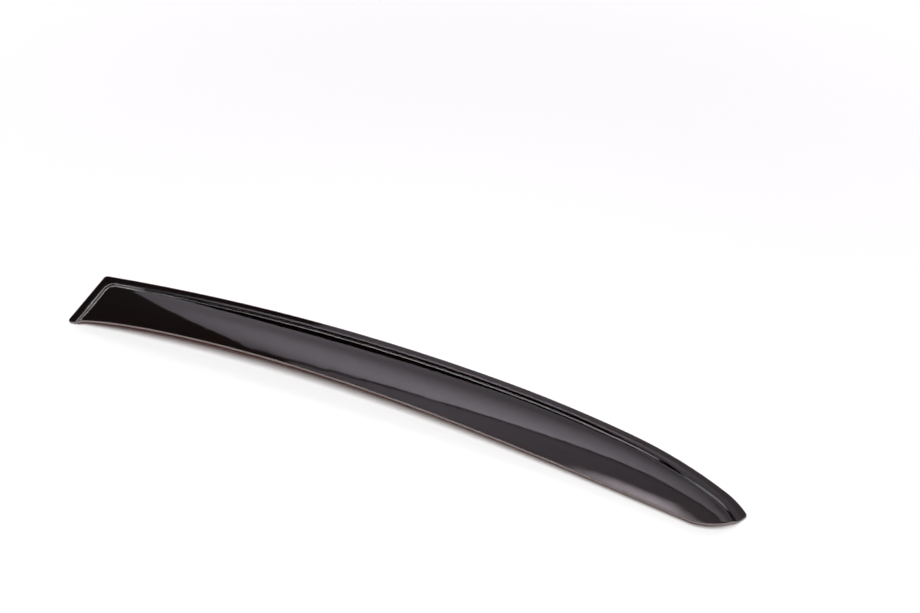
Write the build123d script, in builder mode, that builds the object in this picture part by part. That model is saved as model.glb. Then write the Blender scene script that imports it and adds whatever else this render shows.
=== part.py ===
import os
from math import asin, atan2, cos, degrees, exp, hypot, pi, radians, sin, sqrt, tan

from build123d import *

os.makedirs("parts", exist_ok=True)

# Window rain deflector: one shell of smoked acrylic sheet, formed hot over a mould and trimmed.
# The origin is on the back of the flange, at the crown of its long run and half way across its flat.
# +X runs along the flange to the pointed end, +Y to the flange edge and +Z away from the window.
# Lengths are in millimetres and angles in degrees.

# Sheet, and the rounding of its trimmed edge
wall = 3.0
edge_radius = 0.6

# Outer edge of the flange: four arcs from the square end to the pointed end
crown_radius = 2030.0
crown_lead_angle = 8.4
crown_trail_angle = 5.25
haunch_radius = 1220.0
haunch_angle = 6.8
shoulder_radius = 385.0
shoulder_angle = 16.1
nose_radius = 77.0
nose_angle = 23.0

# Pointed end: a straight cut that leans in, with a tight tip and a wide heel
cut_length = 41.0
cut_angle = 32.0
tip_radius = 4.0
heel_radius = 45.0

# Square end
end_length = 81.0
end_angle = 5.5
end_corner_radius = 4.0

# Rim, the long free edge, seen along Z
rim_radius = 3000.0

# Flange and the step that rises from it
flange_width = 10.5
step_angle = 31.0
end_flange_width = 9.8
end_step_angle = 38.0
step_corner_radius = 18.0
root_radius = 16.0
crest_radius = 12.0

# Heights over the back of the flange, along the crest from the square end
# The rim climbs from the square end, holds its height and then comes down with the crest
crest_height = 9.0
crest_tip_height = 8.4
rim_height = 25.4
rim_end_height = 2.9
rim_tip_height = 5.5
climb_length = 72.0
fall_start = 220.0
fall_length = 630.0

# Face: an arc from the crest of the step to the rim, drawn at stations along the crest
face_radius = 190.0
station_count = 18

flat_width = flange_width - root_radius * tan(radians(step_angle / 2))
edge_y = flat_width / 2
crest_inset = flange_width + (crest_height - wall) / tan(radians(step_angle))
face_depth = end_length - crest_inset
end_drop = Vector(sin(radians(end_angle)), -cos(radians(end_angle)))
end_inward = Vector(cos(radians(end_angle)), sin(radians(end_angle)))
cut_drop = Vector(-sin(radians(cut_angle)), -cos(radians(cut_angle)))

# Waste outside the trimmed outline, and the reach of the forming blocks past it
waste = crest_radius
lead_in = climb_length / 2
run_out = 2 * cut_length + waste
block_depth = end_length + rim_height
wall_rise = crest_height + root_radius


def long_edge(inset):
    # The four arcs of the long edge, moved in from it
    crown_centre = (0, edge_y - crown_radius)
    crown_sweep = crown_lead_angle + crown_trail_angle
    crown = CenterArc(crown_centre, crown_radius - inset, 90 + crown_lead_angle, -crown_sweep)
    haunch = JernArc(crown @ 1, crown % 1, haunch_radius - inset, -haunch_angle)
    shoulder = JernArc(haunch @ 1, haunch % 1, shoulder_radius - inset, -shoulder_angle)
    nose = JernArc(shoulder @ 1, shoulder % 1, nose_radius - inset, -nose_angle)
    return crown, nose


# Trimmed outline of the sheet, seen along Z
with BuildSketch() as outline:
    with BuildLine():
        crown, nose = long_edge(0)
        end_top = crown @ 0
        end_low = end_top + end_drop * end_length
        tip = nose @ 1
        heel = tip + cut_drop * cut_length
        Line(tip, heel)
        RadiusArc(heel, end_low, -rim_radius)
        Line(end_low, end_top)
    make_face()
    fillet(outline.vertices().sort_by_distance(heel)[0], radius=heel_radius)
    fillet(outline.vertices().sort_by_distance(tip)[0], radius=tip_radius)
    fillet(outline.vertices().sort_by(Axis.X)[:2], radius=end_corner_radius)

# Sheet as it is formed, before the waste is trimmed off
with BuildSketch() as blank:
    add(outline.sketch)
    offset(amount=waste)

# Part of the blank that is clear of its border
with BuildSketch() as blank_core:
    add(outline.sketch)
    offset(amount=waste / 2)
core = blank_core.faces()[0]

# Crest line, run on straight past both ends
with BuildLine() as crest_line:
    crown, nose = long_edge(crest_inset)
    Line(crown @ 0 - (crown % 0) * lead_in, crown @ 0)
    Line(nose @ 1, nose @ 1 + (nose % 1) * run_out)
crest_path = crest_line.wires()[0]


def heights(distance):
    # Crest and rim heights at a distance from the square end
    along = min(max((distance - fall_start) / fall_length, 0), 1)
    fall = (1 - cos(pi * along)) / 2
    climb = exp(-distance / climb_length)
    crest_z = crest_height - (crest_height - crest_tip_height) * fall
    rim_z = rim_height - (rim_height - rim_end_height) * climb - (rim_height - rim_tip_height) * fall
    return crest_z, rim_z


def face_block(inset):
    # Solid under the face, or under the inner face when moved in by the wall
    with BuildPart() as block:
        for station in range(station_count):
            travel = crest_path.length * station / (station_count - 1)
            foot = crest_path.position_at(travel, position_mode=PositionMode.LENGTH)
            crest_z, rim_z = heights(travel - lead_in)
            tilt = atan2(rim_z - crest_z, face_depth)
            half = hypot(rim_z - crest_z, face_depth) / 2
            drop = sqrt(face_radius**2 - half**2)
            centre_y = foot.Y - face_depth / 2 - drop * sin(tilt)
            centre_z = (crest_z + rim_z) / 2 - drop * cos(tilt)
            span = degrees(asin(half / face_radius))
            start = 90 - degrees(tilt) - 2 * span
            with BuildSketch(Plane((foot.X, 0, 0), x_dir=(0, 1, 0), z_dir=(1, 0, 0))):
                with BuildLine():
                    top = CenterArc((centre_y, centre_z), face_radius - inset, start, 4.6 * span)
                    near = Vector((top @ 1).X, -block_depth)
                    far = Vector((top @ 0).X, -block_depth)
                    Polyline(top @ 1, near, far, top @ 0)
                make_face()
        loft()
    return block.part


def run_area(inset):
    # Area inside the foot of the step along the long run, which goes on past the square end
    with BuildSketch() as area:
        with BuildLine(mode=Mode.PRIVATE) as run:
            crown, nose = long_edge(inset)
        start = crown @ 0 - (crown % 0) * 2 * lead_in
        finish = nose @ 1 + (nose % 1) * 2 * run_out
        with BuildLine():
            Polyline(start, (start.X, finish.Y), finish, nose @ 1)
            add(run.line)
            Line(crown @ 0, start)
        make_face()
    return area.sketch


def end_area(inset):
    # Area inside the foot of the step at the square end
    with BuildSketch() as area:
        with Locations(Location(end_top + end_inward * inset, (0, 0, end_angle))):
            Rectangle(10 * block_depth, 10 * block_depth, align=(Align.MIN, Align.CENTER))
    return area.sketch


def raised(area, base, angle):
    # Solid on an area, with walls that lean in up to the rise and stand upright over it
    with BuildPart() as solid:
        add(area.moved(Location((0, 0, base))))
        extrude(amount=wall_rise, taper=90 - angle)
        extrude(solid.faces().sort_by(Axis.Z)[-1], amount=block_depth)
    return solid.part


def on_sheet(edge):
    # True for an edge that lies clear of the border of the blank
    middle = edge @ 0.5
    return core.is_inside(Vector(middle.X, middle.Y, 0))


def mould(inset):
    # Form that one side of the sheet lies on: flange level, step and face
    # The step starts a wall below the flange level, which leaves room to round its crest
    level = wall - inset
    base = level - wall
    run_inset = flange_width + inset * tan(radians(step_angle / 2)) - wall / tan(radians(step_angle))
    end_inset = end_flange_width + inset * tan(radians(end_step_angle / 2)) - wall / tan(radians(end_step_angle))
    corner = end_top + end_inward * end_inset + end_drop * run_inset
    with BuildPart() as form:
        add(raised(run_area(run_inset), base, step_angle))
        add(raised(end_area(end_inset), base, end_step_angle), mode=Mode.INTERSECT)
        hips = form.edges().filter_by_position(Axis.Z, level, block_depth)
        hip = hips.sort_by_distance(Vector(corner.X, corner.Y, base))[0]
        fillet(hip, radius=step_corner_radius - inset)
        add(face_block(inset), mode=Mode.INTERSECT)
        add(blank.sketch)
        extrude(amount=2 * block_depth, both=True, mode=Mode.INTERSECT)
        crest = form.edges().filter_by(lambda edge: min((edge @ 0).Z, (edge @ 1).Z) > level)
        crest = crest.filter_by(GeomType.LINE, reverse=True).filter_by(on_sheet)
        fillet(crest, radius=crest_radius - inset)
        add(blank.sketch.moved(Location((0, 0, level))))
        extrude(amount=-block_depth)
        root = form.edges().filter_by_position(Axis.Z, level - 0.01, level + 0.01).filter_by(on_sheet)
        fillet(root, radius=root_radius + inset)
    return form.part


def upright(face):
    # True for a face that the trimming left
    return abs(face.normal_at(face.position_at(0.5, 0.5)).Z) < 0.01


outer_form = mould(0)
inner_form = mould(wall)

# The sheet is what lies between the two forms, trimmed to its outline and eased along the cut
with BuildPart() as deflector_shell:
    add(outer_form)
    add(inner_form, mode=Mode.SUBTRACT)
    add(outline.sketch)
    extrude(amount=block_depth, both=True, mode=Mode.INTERSECT)
    trimmed = deflector_shell.faces().filter_by(upright)
    fillet(trimmed.edges().filter_by(Axis.Z, reverse=True), radius=edge_radius)

deflector_shell.part.label = "deflector_shell"
export_step(deflector_shell.part, "parts/deflector_shell.step")
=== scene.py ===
# %% [markdown]
# # A window rain deflector
# The part is a long visor of smoked acrylic that is stuck to the frame of a car's side window.
# It was formed as one sheet, so the CAD model has one node, and this scene only dresses it.
# We load the imported model first and keep its box.

import math

import bpy
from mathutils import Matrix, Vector


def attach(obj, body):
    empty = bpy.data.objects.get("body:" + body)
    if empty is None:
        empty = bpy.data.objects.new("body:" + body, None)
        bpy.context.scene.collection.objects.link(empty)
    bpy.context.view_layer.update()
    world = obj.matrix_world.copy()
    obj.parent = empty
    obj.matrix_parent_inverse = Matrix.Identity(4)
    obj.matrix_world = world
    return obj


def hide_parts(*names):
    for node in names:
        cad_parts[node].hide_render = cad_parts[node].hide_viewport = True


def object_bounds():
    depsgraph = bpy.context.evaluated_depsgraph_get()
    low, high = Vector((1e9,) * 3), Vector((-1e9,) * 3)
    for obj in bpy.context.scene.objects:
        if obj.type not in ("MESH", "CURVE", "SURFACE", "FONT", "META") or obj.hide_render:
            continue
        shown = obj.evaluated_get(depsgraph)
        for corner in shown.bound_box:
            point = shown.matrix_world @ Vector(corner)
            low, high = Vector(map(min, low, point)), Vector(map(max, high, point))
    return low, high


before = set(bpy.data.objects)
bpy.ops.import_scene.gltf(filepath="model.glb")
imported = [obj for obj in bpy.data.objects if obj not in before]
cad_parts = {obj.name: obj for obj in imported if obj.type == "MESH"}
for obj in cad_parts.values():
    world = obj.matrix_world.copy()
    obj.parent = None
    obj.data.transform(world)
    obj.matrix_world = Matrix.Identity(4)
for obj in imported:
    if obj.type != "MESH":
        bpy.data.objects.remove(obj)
cad_low, cad_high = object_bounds()
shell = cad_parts["deflector_shell"]
bpy.ops.object.select_all(action="DESELECT")
print("shell is", [round(1000 * (high - low), 1) for low, high in zip(cad_low, cad_high)], "mm")

# %% [markdown]
# ## One sheet without seams
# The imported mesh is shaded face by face, so a mirrored line would break at every seam between two faces.
# On the real sheet the faces run into each other without a crease.
# The node's own mesh stays as it is, and a copy stands in for it. Only corners that already lie on each
# other are merged, so the copy keeps the form of the node. A vertex group remembers where the seams were.

# %% Merge the seams of a copy
# Corners that are closer than this, in metres, are one corner
seam_gap = 0.000001

sheet = bpy.data.objects.new("acrylic_sheet", shell.data.copy())
bpy.context.scene.collection.objects.link(sheet)
bpy.context.view_layer.objects.active = sheet
sheet.select_set(True)
bpy.ops.mesh.customdata_custom_splitnormals_clear()
bpy.ops.object.mode_set(mode="EDIT")
bpy.ops.mesh.select_mode(type="VERT")
bpy.ops.mesh.select_all(action="DESELECT")
bpy.ops.mesh.select_non_manifold()
bpy.ops.mesh.remove_doubles(threshold=seam_gap)
bpy.ops.object.vertex_group_assign_new()
bpy.ops.object.mode_set(mode="OBJECT")
seams = sheet.vertex_groups[0]
seams.name = "seams"
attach(sheet, "root")
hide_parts("deflector_shell")
on_seam = sum(1 for corner in sheet.data.vertices if corner.groups)
print(len(shell.data.vertices), "corners became", len(sheet.data.vertices), "with", on_seam, "on seams")

# %% [markdown]
# ## Even shading
# Now the copy can be shaded as one surface. Plain smooth shading would let the narrow faces of the step
# tilt the flat flange beside them. Weighted Normal lets the broad faces lead, so the flange looks flat
# up to the foot of the step. Away from the seams plain smooth shading is the more even one, so the
# modifier acts on the seams alone.

# %% Shade the copy as one surface
bpy.ops.object.shade_smooth(keep_sharp_edges=False)
even = sheet.modifiers.new("even_shading", "WEIGHTED_NORMAL")
even.mode = "FACE_AREA"
even.keep_sharp = False
even.vertex_group = seams.name
bpy.ops.object.modifier_apply(modifier=even.name)
print("shaded", len(sheet.data.polygons), "faces as one surface")

# %% [markdown]
# ## Three small helpers
# Colours are easiest to read as sRGB hex values, but shaders work in linear light, so one function
# converts them. Another adds a node with its settings and links, and the third starts an empty material.

# %% Helpers for colours, nodes and materials
def linear(hex_colour):
    channels = []
    for start in (0, 2, 4):
        value = int(hex_colour[start:start + 2], 16) / 255
        if value <= 0.04045:
            channels.append(value / 12.92)
        else:
            channels.append(((value + 0.055) / 1.055) ** 2.4)
    return (*channels, 1.0)


def add_node(tree, kind, settings=None, values=None, links=None):
    # Sockets in values and links are given by name, or by number where two share a name
    node = tree.nodes.new(kind)
    for name, value in (settings or {}).items():
        setattr(node, name, value)
    for name, value in (values or {}).items():
        node.inputs[name].default_value = value
    for name, socket in (links or {}).items():
        tree.links.new(socket, node.inputs[name])
    return node


def new_material(name):
    material = bpy.data.materials.new(name)
    material.use_nodes = True
    material.node_tree.nodes.clear()
    return material


print("mid grey 808080 is", round(linear("808080")[0], 3), "in linear light")

# %% [markdown]
# ## Waves of the hot forming
# The sheet was bent hot over a mould, so its polish has a faint waviness, drawn out along the sheet.
# It bends what the face mirrors, but it is far too shallow to model: a noise texture and a Bump node
# are enough.

# %% Waves in the polish
# Sizes in metres, and the share of the scale that is left along the sheet
wave_width = 0.035
wave_height = 0.000012
wave_stretch = 0.35


def forming_waves(tree, coords):
    stretch = add_node(
        tree, "ShaderNodeMapping",
        values={"Scale": (wave_stretch, 1.0, 1.0)},
        links={"Vector": coords.outputs["Object"]},
    )
    waves = add_node(
        tree, "ShaderNodeTexNoise",
        values={"Scale": 1 / wave_width, "Detail": 1.0, "Roughness": 0.4},
        links={"Vector": stretch.outputs["Vector"]},
    )
    ripple = add_node(
        tree, "ShaderNodeBump",
        values={"Strength": 0.5, "Distance": wave_height},
        links={"Height": waves.outputs["Fac"]},
    )
    return ripple.outputs["Normal"]


print("waves are", round(1000 * wave_width), "mm wide")

# %% [markdown]
# ## Trimmed edge
# The sheet was trimmed by a router. Its cut edge is frosted, so it catches light as a thin pinkish line.
# The edge could get a material of its own, but then the eased corner would end in a hard border.
# It is the only place where the surface stands nearly upright, so the normal marks it with a soft border.

# %% Mask of the cut edge
# Upward share of the normal, below which the frost is full and above which there is none
frost_full = 0.25
frost_none = 0.65


def cut_edge(tree, coords):
    # 1 where the surface stands upright, 0 where it leans as far back as the step or the face
    direction = add_node(tree, "ShaderNodeSeparateXYZ", links={"Vector": coords.outputs["Normal"]})
    flatness = add_node(
        tree, "ShaderNodeMath",
        settings={"operation": "ABSOLUTE"},
        links={"Value": direction.outputs["Z"]},
    )
    cut = add_node(
        tree, "ShaderNodeMapRange",
        values={"From Min": frost_full, "From Max": frost_none, "To Min": 1.0, "To Max": 0.0},
        links={"Value": flatness.outputs["Value"]},
    )
    return cut.outputs["Result"]


slopes = [round(math.degrees(math.acos(share))) for share in (frost_none, frost_full)]
print("frost starts at a slope of", slopes[0], "degrees and is full at", slopes[1])

# %% [markdown]
# ## Gloss
# Cast acrylic is polished, and wiping leaves hairline marks in its gloss that run along the sheet.
# They change only the roughness: a noise texture that is stretched along the sheet draws them.
# Real marks are finer than a pixel of this view, so they are drawn coarser to show. Cells of 1.6 mm
# set them about 0.8 mm apart. The frosted cut is rougher all over.

# %% Wiping marks and frost
hairline_cell = 0.0016
hairline_stretch = 0.03
polished = (0.035, 0.075)
frost = 0.35


def gloss_marks(tree, coords, cut):
    comb = add_node(
        tree, "ShaderNodeMapping",
        values={"Scale": (hairline_stretch, 1.0, 1.0)},
        links={"Vector": coords.outputs["Object"]},
    )
    hairlines = add_node(
        tree, "ShaderNodeTexNoise",
        values={"Scale": 1 / hairline_cell, "Detail": 2.0},
        links={"Vector": comb.outputs["Vector"]},
    )
    gloss = add_node(
        tree, "ShaderNodeMapRange",
        values={"From Min": 0.35, "From Max": 0.75, "To Min": polished[0], "To Max": polished[1]},
        links={"Value": hairlines.outputs["Fac"]},
    )
    roughness = add_node(
        tree, "ShaderNodeMath",
        settings={"operation": "MULTIPLY_ADD"},
        values={1: frost},
        links={0: cut, 2: gloss.outputs["Result"]},
    )
    return roughness.outputs["Value"]


print("roughness is", polished[0], "to", polished[1], "and", frost, "more on the cut")

# %% [markdown]
# ## Smoke dye
# The smoke dye takes nearly all light in three millimetres, and red last, so thin edges glow brown.
# A dark base colour would be the same at any thickness. A Volume Absorption node takes light by the
# length of the way through, as the real dye does. It takes density times one minus its colour.

# %% Dye in the sheet
wall = 0.003
dye_passes = {"red": 0.10, "green": 0.03, "blue": 0.022}
dye_takes = [-math.log(share) / wall for share in dye_passes.values()]


def smoke_dye(tree):
    density = max(dye_takes)
    colour = [1 - rate / density for rate in dye_takes]
    dye = add_node(
        tree, "ShaderNodeVolumeAbsorption",
        values={"Color": (*colour, 1.0), "Density": density},
    )
    return dye.outputs["Volume"]


print("dye takes", [round(rate) for rate in dye_takes], "per metre")

# %% [markdown]
# ## Smoked acrylic
# Acrylic is a clear plastic with an index of refraction of 1.49, so the Principled shader transmits
# light, and the dye makes it dark. On the frosted cut a third of the light is scattered back instead,
# by a pinkish grey. The four pieces above join here to one material for the whole sheet.

# %% Smoked acrylic material
acrylic_ior = 1.49
polished_tone = "F4EEEC"
frosted_tone = "C8B4B2"
frosted_clear = 0.65


def smoked_acrylic():
    material = new_material("smoked_acrylic_polished_sheet")
    tree = material.node_tree
    coords = add_node(tree, "ShaderNodeTexCoord")
    cut = cut_edge(tree, coords)
    tone = add_node(
        tree, "ShaderNodeMixRGB",
        values={"Color1": linear(polished_tone), "Color2": linear(frosted_tone)},
        links={"Fac": cut},
    )
    clear = add_node(
        tree, "ShaderNodeMapRange",
        values={"To Min": 1.0, "To Max": frosted_clear},
        links={"Value": cut},
    )
    surface = add_node(
        tree, "ShaderNodeBsdfPrincipled",
        values={"IOR": acrylic_ior},
        links={
            "Base Color": tone.outputs["Color"],
            "Roughness": gloss_marks(tree, coords, cut),
            "Transmission Weight": clear.outputs["Result"],
            "Normal": forming_waves(tree, coords),
        },
    )
    add_node(
        tree, "ShaderNodeOutputMaterial",
        links={"Surface": surface.outputs["BSDF"], "Volume": smoke_dye(tree)},
    )
    return material


sheet.data.materials.clear()
sheet.data.materials.append(smoked_acrylic())
print("sheet is", sheet.data.materials[0].name)

# %% [markdown]
# ## Cards and cloth
# The floor and the lights are flat cards. Another gives the matt finish that white paper and black
# cloth share.

# %% Helpers for the stage
def flat_card(name, centre, size, turn=(0, 0, 0)):
    # A plane of the given size in metres, turned by degrees about X, Y and Z
    bpy.ops.object.select_all(action="DESELECT")
    bpy.ops.mesh.primitive_plane_add(
        size=1, location=centre, rotation=[math.radians(angle) for angle in turn]
    )
    card = bpy.context.object
    card.name = name
    card.scale = (size[0], size[1], 1)
    bpy.ops.object.transform_apply(location=False, rotation=False, scale=True)
    return card


def matt_cloth(name, hex_colour):
    material = new_material(name)
    tree = material.node_tree
    cloth = add_node(
        tree, "ShaderNodeBsdfDiffuse",
        values={"Color": linear(hex_colour), "Roughness": 0.5},
    )
    add_node(tree, "ShaderNodeOutputMaterial", links={"Surface": cloth.outputs["BSDF"]})
    return material


print("stage helpers ready")

# %% [markdown]
# ## Floor
# The part lies face up on white paper, a plain plane just under the flange. Close to the part the paper
# is only matt, so its shadow comes from the lights alone. Further off it glows too, to the eye, in
# mirrors and through the acrylic, so that it stays pale as far as any view reaches.

# %% White floor
floor_gap = 0.0003
floor_width = 600

# Distances from the middle of the floor at which the glow starts and is full, and its full strength
glow_start = 0.35
glow_full = 3.0
glow_strength = 0.9


def white_paper():
    material = matt_cloth("matt_white_paper", "FCFCFC")
    tree = material.node_tree
    output = [node for node in tree.nodes if node.type == "OUTPUT_MATERIAL"][0]
    paper = [node for node in tree.nodes if node.type == "BSDF_DIFFUSE"][0]
    coords = add_node(tree, "ShaderNodeTexCoord")
    away = add_node(
        tree, "ShaderNodeVectorMath",
        settings={"operation": "LENGTH"},
        links={"Vector": coords.outputs["Object"]},
    )
    far = add_node(
        tree, "ShaderNodeMapRange",
        settings={"interpolation_type": "SMOOTHSTEP"},
        values={
            "From Min": glow_start, "From Max": glow_full, "To Min": 0.0, "To Max": glow_strength,
        },
        links={"Value": away.outputs["Value"]},
    )
    path = add_node(tree, "ShaderNodeLightPath")
    seen = path.outputs["Is Camera Ray"]
    for kind in ("Is Glossy Ray", "Is Transmission Ray"):
        either = add_node(
            tree, "ShaderNodeMath",
            settings={"operation": "MAXIMUM"},
            links={0: path.outputs[kind], 1: seen},
        )
        seen = either.outputs["Value"]
    strength = add_node(
        tree, "ShaderNodeMath",
        settings={"operation": "MULTIPLY"},
        links={0: far.outputs["Result"], 1: seen},
    )
    glow = add_node(tree, "ShaderNodeEmission", links={"Strength": strength.outputs["Value"]})
    both = add_node(
        tree, "ShaderNodeAddShader",
        links={0: paper.outputs["BSDF"], 1: glow.outputs["Emission"]},
    )
    tree.links.new(both.outputs["Shader"], output.inputs["Surface"])
    return material


floor_centre = ((cad_low[0] + cad_high[0]) / 2, 0, cad_low[2] - floor_gap)
floor = flat_card("floor", floor_centre, (floor_width, floor_width))
floor.data.materials.append(white_paper())
print("floor at", round(1000 * floor.location.z, 2), "mm")

# %% [markdown]
# ## Cloth of a softbox
# A glossy dark part shows what stands round it, so the lights are glowing cards, as in a studio.
# A real softbox is brightest in front of its lamp and fades towards its hems. A card of even light
# would look flat in the face, so the cloth's radiance falls with the distance from the lamp.

# %% Glowing cloth
hem_share = 0.3


def glowing_cloth(name, half_height, lamp, stretch, reach, peak, rim, hem, tint, slant=0):
    # Radiance falls from the peak at the lamp to the rim value at the reach, and again at the hem
    # The glow is stretched along an axis that slants by some degrees
    material = new_material(name)
    tree = material.node_tree
    coords = add_node(tree, "ShaderNodeTexCoord")
    place = add_node(
        tree, "ShaderNodeMapping",
        settings={"vector_type": "TEXTURE"},
        values={
            "Location": (*lamp, 0), "Rotation": (0, 0, math.radians(slant)), "Scale": (*stretch, 1),
        },
        links={"Vector": coords.outputs["Object"]},
    )
    away = add_node(
        tree, "ShaderNodeVectorMath",
        settings={"operation": "LENGTH"},
        links={"Vector": place.outputs["Vector"]},
    )
    glow = add_node(
        tree, "ShaderNodeMapRange",
        values={"From Max": reach, "To Min": peak, "To Max": rim},
        links={"Value": away.outputs["Value"]},
    )
    split = add_node(tree, "ShaderNodeSeparateXYZ", links={"Vector": coords.outputs["Object"]})
    height = add_node(
        tree, "ShaderNodeMath",
        settings={"operation": "ABSOLUTE"},
        links={"Value": split.outputs["Y"]},
    )
    fade = add_node(
        tree, "ShaderNodeMapRange",
        settings={"interpolation_type": "SMOOTHSTEP"},
        values={
            "From Min": half_height - hem, "From Max": half_height, "To Min": 1.0, "To Max": hem_share,
        },
        links={"Value": height.outputs["Value"]},
    )
    strength = add_node(
        tree, "ShaderNodeMath",
        settings={"operation": "MULTIPLY"},
        links={0: glow.outputs["Result"], 1: fade.outputs["Result"]},
    )
    emit = add_node(
        tree, "ShaderNodeEmission",
        values={"Color": linear(tint)},
        links={"Strength": strength.outputs["Value"]},
    )
    add_node(tree, "ShaderNodeOutputMaterial", links={"Surface": emit.outputs["Emission"]})
    return material


def light_card(name, centre, size, turn, tint="FFFFFF", **glow):
    card = flat_card(name, centre, size, turn)
    card.data.materials.append(glowing_cloth(name + "_cloth", size[1] / 2, tint=tint, **glow))
    card.visible_camera = False
    print(name, "glows from", glow["peak"], "to", glow["rim"])
    return card


print("a hem keeps", hem_share, "of the glow")

# %% [markdown]
# ## Light from behind
# The softbox behind the part is mirrored in the face. Its left side leans, which draws the slanted edge
# between the dark and the bright part of the face. The lean is made by moving the two left corners.
# A dimmer wall over it is mirrored in the band along the rim, towards the pointed end.

# %% Softbox and wall behind the part
back_turn = (90, -6.6, 0)
back_tint = "F9F1FD"
back_lean = {"low": -0.62, "high": 0.12}

back_softbox = light_card(
    "back_softbox", centre=(-0.09, 1.8, 0.88), size=(2.48, 1.58), turn=back_turn, tint=back_tint,
    lamp=(0.071, 0.774), stretch=(1.77, 0.765), slant=29, reach=1.0, peak=3.25, rim=0.65, hem=0.08,
)
for corner in back_softbox.data.vertices:
    if corner.co.x < 0:
        corner.co.x += back_lean["low" if corner.co.y < 0 else "high"]
light_card(
    "back_wall", centre=(0.18, 1.9, 2.53), size=(2.84, 1.4), turn=back_turn, tint=back_tint,
    lamp=(-0.8, 0.0), stretch=(1.0, 3.0), reach=1.1, peak=1.15, rim=0.6, hem=0.05,
)

# %% [markdown]
# ## Light from the other sides
# A small softbox overhead puts a soft bright spot near the rim, before the pointed end.
# A low strip at the far left draws the bright line along the step of the square end.
# The softbox in front stands high and lights the floor close up to the rim.

# %% Overhead, side and front lights
light_card(
    "top_softbox", centre=(0.583, 1.165, 2.4), size=(1.3, 1.3), turn=(180, 0, -42), tint="FFF4FC",
    lamp=(-0.35, 0.0), stretch=(1.0, 2.5), reach=0.32, peak=9.0, rim=0.4, hem=0.1,
)
light_card(
    "low_strip", centre=(-1.885, 1.34, 0.12), size=(1.25, 0.15), turn=(90, 0, 49.5), tint="FFF0F0",
    lamp=(0.0, 0.0), stretch=(1.0, 1.0), reach=0.7, peak=5.4, rim=3.9, hem=0.05,
)
light_card(
    "front_softbox", centre=(0.3, -1.1, 2.2), size=(3.4, 1.15), turn=(25, 0, 0),
    lamp=(0.0, 0.0), stretch=(1.0, 1.0), reach=1.7, peak=6.5, rim=5.4, hem=0.1,
)

# %% [markdown]
# ## Flag
# A photographer adds a black flag to draw dark lines into a glossy part. This one is a low strip that
# follows the flange behind it and runs out before the pointed end.
# Mirror rays alone see it, so the step gets its thin dark lines and the floor no shadow.

# %% Black flag
# Long edge of the flange, in metres: the arc of its crown, and a bend to the pointed end
crown_y = cad_high[1]
crown_radius = 2.03
bend_start = 0.18
bend_rate = 1.25

# Values at the left and the right end of the flag, the share of its length in which it runs out,
# and the number of straight steps that draw its curve
flag_x = (-0.27, 0.405)
flag_behind = (0.036, 0.031)
flag_height = (0.016, 0.028)
run_out = 0.2
flag_steps = 48


def flange_y(x):
    return crown_y - x * x / (2 * crown_radius) - bend_rate * max(x - bend_start, 0) ** 3


def between(ends, along):
    return ends[0] + (ends[1] - ends[0]) * along


bpy.ops.object.select_all(action="DESELECT")
bpy.ops.mesh.primitive_grid_add(x_subdivisions=flag_steps, y_subdivisions=1, size=1)
low_flag = bpy.context.object
low_flag.name = "low_flag"
for corner in low_flag.data.vertices:
    # The grid starts as a square of one metre round the origin
    along = corner.co.x + 0.5
    x = between(flag_x, along)
    y = flange_y(x) + between(flag_behind, along)
    top = between(flag_height, along) * min(1.0, (1 - along) / run_out)
    corner.co = (x, y, top if corner.co.y > 0 else 0.0)
low_flag.data.materials.append(matt_cloth("matt_black_cloth", "101010"))
low_flag.visible_camera = False
low_flag.visible_diffuse = False
low_flag.visible_transmission = False
low_flag.visible_shadow = False
print("flag with", len(low_flag.data.vertices), "corners")

# %% [markdown]
# ## World
# The rest of the room is dim and even, so the part keeps dark reflections beside the softbox.

# %% Dim room
room_strength = 0.07
world = bpy.data.worlds.new("dim_room")
bpy.context.scene.world = world
world.use_nodes = True
world.node_tree.nodes.clear()
room = add_node(
    world.node_tree, "ShaderNodeBackground",
    values={"Color": (1, 1, 1, 1), "Strength": room_strength},
)
add_node(world.node_tree, "ShaderNodeOutputWorld", links={"Surface": room.outputs["Background"]})
print("room strength", room_strength)

# %% [markdown]
# ## Camera
# The camera looks down on the part from the front, a little from its pointed end.
# Its place and lens were fitted to the outline of the part in the photograph.

# %% Camera
eye = Vector((0.4610, -0.7964, 0.8354))
aim = Vector((0.0980, 0.0886, 0.0))
camera_data = bpy.data.cameras.new("camera")
camera_data.sensor_width = 36
camera_data.lens = 44.65
camera = bpy.data.objects.new("camera", camera_data)
bpy.context.scene.collection.objects.link(camera)
camera.location = eye
camera.rotation_euler = (aim - eye).to_track_quat("-Z", "Y").to_euler()
bpy.context.scene.camera = camera
bpy.context.scene.view_settings.view_transform = "Standard"
print("camera is", round((aim - eye).length, 3), "m from its aim")
